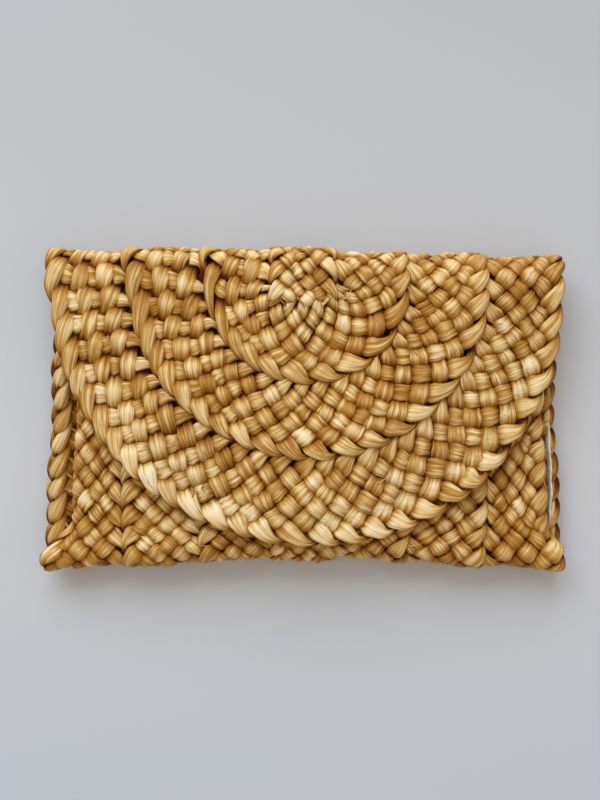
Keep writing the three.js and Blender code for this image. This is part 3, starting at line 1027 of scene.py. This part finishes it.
def makeSheet(name, spanX, spanQ, depth, material, outline=None):
    # a sheet of cloth over a stretch of the bag, cut to an outline if there is one, and its flat area
    plan = liningPlan
    piece = bmesh.new()
    columns = max(4, round((spanX[1] - spanX[0]) / plan["step"]))
    rows = max(4, round((spanQ[1] - spanQ[0]) / plan["step"]))
    uvLayer = piece.loops.layers.uv.new("UVMap")
    bmesh.ops.create_grid(piece, x_segments=columns, y_segments=rows, size=1, calc_uvs=True)
    for vert in piece.verts:
        across = (vert.co.x + 1) / 2
        q = spanQ[0] + (spanQ[1] - spanQ[0]) * (vert.co.y + 1) / 2
        x = spanX[0] + (spanX[1] - spanX[0]) * across
        if outline is not None:
            x = (across * 2 - 1) * outline(q)
        vert.co = (x, q, 0)
    layFlat(piece, uvLayer, mm)
    area = sum(face.calc_area() for face in piece.faces)
    flat = np.array([vert.co[:2] for vert in piece.verts])
    placed = onBag(flat[:, 0], flat[:, 1], depth(flat[:, 0], flat[:, 1])) * mm
    for vert, point in zip(piece.verts, placed):
        vert.co = point
    bmesh.ops.reverse_faces(piece, faces=piece.faces)
    bmesh.ops.recalc_face_normals(piece, faces=piece.faces)
    obj = finishMesh(piece, name, material)
    thicken(obj)
    return obj, area


def thicken(obj):
    solid = obj.modifiers.new("thickness", "SOLIDIFY")
    solid.thickness = liningPlan["thick"] * mm
    solid.offset = 0


def flapHalfWidth(q):
    # the flap's outline, as a half width at each distance along the bag
    depth = flapDepths[0] - liningPlan["flapInset"]
    wide = bag["halfWidth"] - liningPlan["flapInset"]
    below = max(q - way["arc"], 0) / depth
    return wide * math.sqrt(max(1 - below * below, 0.0004))


def makeLinings(cotton):
    plan = liningPlan
    span = (plan["left"], plan["right"])
    frontQ = (plan["mouth"], way["middleOfBottom"])
    front, _ = makeSheet("liningFront", span, frontQ, liningDepth, cotton)
    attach(front, "pouch")
    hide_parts("lining_front", "lining_bottom_fold", "lining_side_left", "lining_side_right")
    backQ = (way["middleOfBottom"], way["middleOfTop"])
    back, _ = makeSheet("liningBack", span, backQ, liningDepth, cotton)
    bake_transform(back)
    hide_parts("lining_back")
    flapQ = (way["middleOfTop"], way["arc"] + flapDepths[0] - plan["flapInset"])
    flap, area = makeSheet("liningFlap", span, flapQ, liningDepth, cotton, flapHalfWidth)
    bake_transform(flap)
    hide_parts("lining_flap", "lining_top_fold")
    pocketQ = (backAt(plan["pocketLow"]), backAt(plan["pocketHigh"]))
    pocketSpan = (-plan["pocketHalf"], plan["pocketHalf"])
    pocket, _ = makeSheet("slipPocket", pocketSpan, pocketQ, pocketDepth, cotton)
    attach(pocket, "pouch")
    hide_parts("slip_pocket")
    for sheet in (front, back, flap, pocket):
        print("lining", sheet.name)


def runOf(path):
    # the distance walked at each point of a path
    return np.concatenate([[0], np.cumsum(np.linalg.norm(np.diff(path, axis=0), axis=1))])


def fineRings(path, up, width, thick, seed, around=8, fade=0.4):
    # a fine ribbon or thread along a path of points in mm, flat against the direction up
    path = np.asarray(path, float)
    ahead = np.gradient(path, axis=0)
    ahead = ahead / np.linalg.norm(ahead, axis=1, keepdims=True)
    side = np.cross(ahead, np.asarray(up, float))
    side = side / np.linalg.norm(side, axis=1, keepdims=True)
    top = np.cross(side, ahead)
    angle = fullTurn(around)
    share = np.linspace(0, 1, len(path))
    body = np.sqrt(np.clip(1 - (2 * share - 1) ** 6, 0.04, 1))
    v = np.cos(angle)[None, :] * (width * body / 2)[:, None]
    h = np.sin(angle)[None, :] * (thick * body / 2)[:, None]
    points = path[:, None] + side[:, None] * v[..., None] + top[:, None] * h[..., None]
    run = runOf(path)
    draw = np.random.default_rng(seed)
    flat = np.zeros(v.shape)
    return {
        "points": points,
        "uv": np.stack([run[:, None] + flat + seed * 3.1, v + seed * 1.7], axis=-1) * mm,
        "tone": flat + draw.uniform(0.2, 0.9), "depth": flat + 0.75, "stitch": flat, "fade": flat + fade,
    }


def addFine(piece, rings):
    ribbonInto(piece, rings, 0, len(rings["points"]))


stitchPlan = {"length": 2.6, "every": 4.2, "thread": 0.55, "steps": 6, "fromEdge": 4.5}


def sewRow(piece, route, up, total, seed):
    # running stitches along a route, which gives a point in mm for a distance and a height over the cloth
    plan = stitchPlan
    draw = np.random.default_rng(seed)
    for start in np.arange(1, total - plan["every"], plan["every"]):
        begin = start + draw.uniform(-0.25, 0.25)
        share = np.linspace(0, 1, plan["steps"])
        rise = plan["thread"] * (0.75 * np.sin(math.pi * share) - 0.35)
        path = np.array([route(begin + plan["length"] * u, h) for u, h in zip(share, rise)])
        addFine(piece, fineRings(path, up, plan["thread"], plan["thread"], int(seed + start), 6))


def finishRow(piece, name, material):
    closeTubes(piece)
    obj = finishMesh(piece, name, material)
    print("sewn", name, len(obj.data.polygons))
    return obj


def sewOutline(corners, depth, thread, name, seed):
    # a row of stitches through the corners, which are x and q on the lining
    corners = np.array(corners, float)
    run = runOf(corners)

    def along(d, h):
        x = np.interp(d, run, corners[:, 0])
        q = np.interp(d, run, corners[:, 1])
        return onBag(x, q, depth(x, q) - liningPlan["thick"] / 2 - h)

    piece = bmesh.new()
    sewRow(piece, along, (0, 0, 1), run[-1], seed)
    return finishRow(piece, name, thread)


def flatPocket(x, q):
    return -liningPlan["pocketUnder"] - 0.2


def makeStitches(thread):
    plan = liningPlan
    rim = stitchPlan["fromEdge"]
    mouthQ = plan["mouth"] + 3
    mouth = [(plan["left"] + 4, mouthQ), (plan["right"] - 4, mouthQ)]
    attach(sewOutline(mouth, liningDepth, thread, "mouthHemStitches", 400), "pouch")
    wide = bag["halfWidth"] - plan["flapInset"] - rim
    deep = flapDepths[0] - plan["flapInset"] - rim
    turns = np.linspace(0, math.pi, 400)
    arc = [(-math.cos(turn) * wide, way["arc"] + math.sin(turn) * deep) for turn in turns]
    hem = [(-wide, way["flap"] - 8)] + arc + [(wide, way["flap"] - 8)]
    hemRow = sewOutline(hem, liningDepth, thread, "flapHemStitches", 700)
    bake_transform(hemRow)
    half = plan["pocketHalf"] - 2
    low = backAt(plan["pocketLow"] + 2)
    high = backAt(plan["pocketHigh"])
    pocket = [(-half, high), (-half, low), (half, low), (half, high)]
    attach(sewOutline(pocket, flatPocket, thread, "pocketStitches", 900), "pouch")


seamPlan = {"every": 9.0, "thick": 0.6, "wide": 1.44, "from": -76, "to": 68}


def makeSideSeams(material):
    # strands of husk that whip the front's edges to the back's
    piece = bmesh.new()
    plan = seamPlan
    for sign in (-1, 1):
        edge = frontSeams[0] if sign < 0 else frontSeams[-1]
        for number, y in enumerate(np.arange(plan["from"], plan["to"], plan["every"])):
            seed = 1200 + number + (50 if sign > 0 else 0)
            draw = np.random.default_rng(seed)
            lean = draw.uniform(3, 6)
            share = np.linspace(0, 1, 9)
            startPoint = onBag(edge + sign * 4, frontAt(y), 2.2)
            endPoint = onBag(sign * (bag["halfWidth"] - 9), backAt(y + lean), -2.4)
            path = startPoint + (endPoint - startPoint) * share[:, None]
            path[:, 0] = path[:, 0] + sign * 0.8 * np.sin(math.pi * share)
            addFine(piece, fineRings(path, (0, 0.2, 1), plan["wide"], plan["thick"], seed, 8, 0.36))
    seams = finishRow(piece, "sideSeamWhipping", material)
    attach(seams, "pouch")


ropePlan = {
    "left": {"x": -139.6, "z": 9.8, "wide": 9.8, "thick": 6.4, "from": -80, "to": 80, "lean": 1.15},
    "right": {"x": 142.3, "z": 7.6, "wide": 4.7, "thick": 5.6, "from": -80, "to": 78, "lean": 0.8},
    "every": 12.6,
    "long": 21.0,
    "lowest": -88.5,
    "highest": 87,
}


def makeSideRopes(material):
    # the back's outermost turns, curled up beside the front: slanting lozenges one on the next
    for side in ("left", "right"):
        plan = ropePlan[side]
        sign = -1 if side == "left" else 1
        edge = bag["halfWidth"] - 4
        piece = bmesh.new()
        for number, y in enumerate(np.arange(plan["from"], plan["to"], ropePlan["every"])):
            seed = 1300 + number + (40 if sign > 0 else 0)
            draw = np.random.default_rng(seed)
            share = np.linspace(0, 1, 15)
            along = y + draw.uniform(-0.8, 0.8) + ropePlan["long"] * (share - 0.5)
            inward = np.where(share > 0, (share - 0.5) * plan["wide"] * 0.72, 0)
            back = onBag(sign * edge, backAt(np.clip(along, -90, 86)), 0)
            middle = plan["x"] - sign * (edge - np.abs(back[:, 0]))
            height = plan["z"] + 1.5 * np.sin(math.pi * share) - 2.6 * share + draw.uniform(-0.4, 0.4)
            along = np.clip(along, ropePlan["lowest"], ropePlan["highest"])
            path = np.stack([middle + plan["lean"] * inward, along, height], axis=-1)
            addFine(piece, lozengeRings(path, (sign * 0.2, 0, 1), plan["wide"] * 0.86, plan["thick"], seed))
        rope = finishRow(piece, "edgeRope" + side.capitalize(), material)
        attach(rope, "pouch")


def lozengeRings(path, up, width, thick, seed):
    # a puffed, folded length of husk that starts round and ends in a point
    rings = fineRings(path, up, width, thick, seed, plaitLook["around"], 0.38)
    share = np.linspace(0, 1, len(path))
    body = np.clip((share + 0.03) / 0.3, 0, 1) ** 0.6 * np.clip((1.03 - share) / 0.55, 0, 1) ** 0.65
    middle = np.asarray(path, float)[:, None]
    around = rings["points"] - middle
    size = np.linalg.norm(around, axis=2, keepdims=True)
    steps = np.arange(around.shape[1])[None, :] + 0 * size[..., 0]
    folds = 1 + 0.09 * ripple(seed, steps, share[:, None] * 2.0, 7.0)
    folds[:, -1] = folds[:, 0]
    around = around * np.maximum(body, 0.05)[:, None, None] * folds[..., None]
    rings["points"] = middle + around
    # painted shade: darker where each lozenge starts, tucked under the one before, and on its underside
    shaded = 0.35 + 0.65 * smooth(share / 0.2)
    rings["depth"] = np.clip(0.62 + around[..., 2] / thick * 0.9, 0, 1) * shaded[:, None]
    return rings


def strayPath(x, q, h, heading, length, curl, rise, seed):
    # a loose fibre that leaves the surface and curls
    draw = np.random.default_rng(seed)
    steps = 14
    path = [np.array(onBag(x, q, h), float)]
    angle = heading
    for step in range(steps):
        angle += curl / steps + draw.uniform(-0.12, 0.12)
        lift = rise * math.cos(math.pi * step / steps)
        path.append(path[-1] + np.array([math.cos(angle) * length, math.sin(angle) * length, lift]) / steps)
    return np.array(path)


strayPlan = {
    # x, y, heading, length, curl and rise of the loose fibres on the front
    "front": [
        (-132, -12, -1.2, 26, 0.5, 1.2),
        (-133, -34, -1.9, 18, -0.7, 2.0),
        (-134, -52, 1.2, 12, 0.8, 1.5),
        (-60, -77, -0.6, 9, 0.5, 0.6),
        (12, -78, -2.4, 8, -0.6, 0.6),
        (55, -76, -1.0, 10, 0.8, 0.8),
        (98, -60, -1.4, 12, 0.8, 1.4),
        (134, -30, -1.7, 16, 0.5, 1.6),
    ],
    # x, y, heading and length of those on the flap
    "flap": [
        (20, 60, 0.4, 9), (62, 30, 2.0, 8), (-20, 20, 0.9, 10),
        (100, 52, -0.6, 9), (-112, 40, -1.5, 9), (40, -40, 0.2, 8),
    ],
    # x and y of the short ones where the sewn line frayed the flap
    "frayed": [
        (-62, -46), (-60, -49), (-57, -50), (-61, -44), (-55, -52),
        (-58, -47), (-53, -51), (-64, -47), (-57, -44),
    ],
    "tuft": 9,               # fibres at the lower right corner
}


def makeStrays(material):
    # every fibre's numbers are drawn in the order that strayPath and fineRings take them
    up = (0, 0, 1)
    onPouch = bmesh.new()
    onFlap = bmesh.new()
    for number, (x, y, heading, length, curl, rise) in enumerate(strayPlan["front"]):
        path = strayPath(x, frontAt(y), 2.2, heading, length, curl, rise, 1500 + number)
        addFine(onPouch, fineRings(path, up, 0.7, 0.3, 1500 + number, 6, 0.45))
    for number in range(strayPlan["tuft"]):
        seed = 1550 + number
        draw = np.random.default_rng(seed)
        x = 137 + draw.uniform(-3, 2)
        heading = draw.uniform(-0.9, 0.1)
        length = draw.uniform(6, 10)
        curl = draw.uniform(-0.4, 0.5)
        path = strayPath(x, frontAt(-79), 1.5, heading, length, curl, draw.uniform(-1.0, 1.0), seed)
        addFine(onPouch, fineRings(path, up, draw.uniform(0.7, 1.5), 0.3, seed, 6, 0.42))
    for number, (x, y) in enumerate(strayPlan["frayed"]):
        seed = 1600 + number
        draw = np.random.default_rng(seed)
        heading = draw.uniform(-2.6, 1.0)
        length = draw.uniform(3, 7)
        curl = draw.uniform(-1.5, 1.5)
        path = strayPath(x, flapAt(y), 2.4, heading, length, curl, draw.uniform(0.3, 1.4), seed)
        addFine(onFlap, fineRings(path, up, draw.uniform(0.4, 0.8), 0.25, seed, 6, 0.3))
    for number, (x, y, heading, length) in enumerate(strayPlan["flap"]):
        path = strayPath(x, flapAt(y), 3.0, heading, length, 0.9, 0.9, 1650 + number)
        addFine(onFlap, fineRings(path, up, 0.6, 0.25, 1650 + number, 6, 0.55))
    front = finishRow(onPouch, "looseFibresFront", material)
    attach(front, "pouch")
    flap = finishRow(onFlap, "looseFibresFlap", material)
    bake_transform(flap)


# in mm; deep is how far up the strip stands from its foot, and tuck how much less at its ends
stripPlan = {"low": -66, "high": -8, "foot": 5.5, "deep": 9.5, "tuck": 3.2, "columns": 8, "rows": 40}


def makeSeamStrip(cotton):
    # the lining's turned edge that shows between the front and the back on the right
    plan = stripPlan
    piece = bmesh.new()
    uvLayer = piece.loops.layers.uv.new("UVMap")
    bmesh.ops.create_grid(piece, x_segments=plan["columns"], y_segments=plan["rows"], size=1, calc_uvs=True)
    for vert in piece.verts:
        across = (vert.co.x + 1) / 2
        y = plan["low"] + (plan["high"] - plan["low"]) * (vert.co.y + 1) / 2
        deep = plan["deep"] + 0.5 * math.sin(y * 0.5) + 0.4 * math.sin(y * 1.3 + 1)
        ends = 1 - smooth((plan["high"] - y) / 14) * smooth((y - plan["low"]) / 8)
        lean = 0.5 * math.sin(y * 0.11) + 0.25 * math.sin(y * 0.37)
        x = frontSeams[-1] + 1.3 + lean + across * across
        vert.co = Vector((x, y, plan["foot"] + (deep - plan["tuck"] * ends) * across * 0.86)) * mm
    layFlat(piece, uvLayer, 1)
    bmesh.ops.recalc_face_normals(piece, faces=piece.faces)
    strip = finishMesh(piece, "liningSeamEdge", cotton)
    thicken(strip)
    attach(strip, "pouch")


# bright and dull colour, and the smoothest and roughest finish
snapLook = {
    "brass": ((0.78, 0.58, 0.27), (0.50, 0.36, 0.17), 0.22, 0.45),
    "magnet": ((0.09, 0.09, 0.10), (0.05, 0.05, 0.055), 0.45, 0.7),
}


def dressSnap(wear):
    brass = metalMaterial(wear, "snapBrass", *snapLook["brass"])
    ferrite = metalMaterial(wear, "darkMagnet", *snapLook["magnet"])
    for name in frame["nodes"]:
        if name.startswith("snap_"):
            node = bpy.data.objects[name]
            node.data.materials.clear()
            node.data.materials.append(ferrite if name == "snap_magnet" else brass)
    print("snap dressed")


makeCamera()
makeFloor()
makeLights()
print("camera, floor and light")
straw = strawMaterial(fibreGroup())
cotton = cottonMaterial(threadGroup())
for index, name in enumerate(("Outer", "Middle", "Inner", "Centre")):
    made = makePlait(Plait(name, index, index + 1), straw)
    print("plait", name, {title: len(obj.data.polygons) for title, obj in made.items()})
makeLinings(cotton)
makeSeamStrip(cotton)
makeStitches(threadMaterial())
makeSideSeams(straw)
makeSideRopes(straw)
makeStrays(straw)
dressSnap(wearGroup())
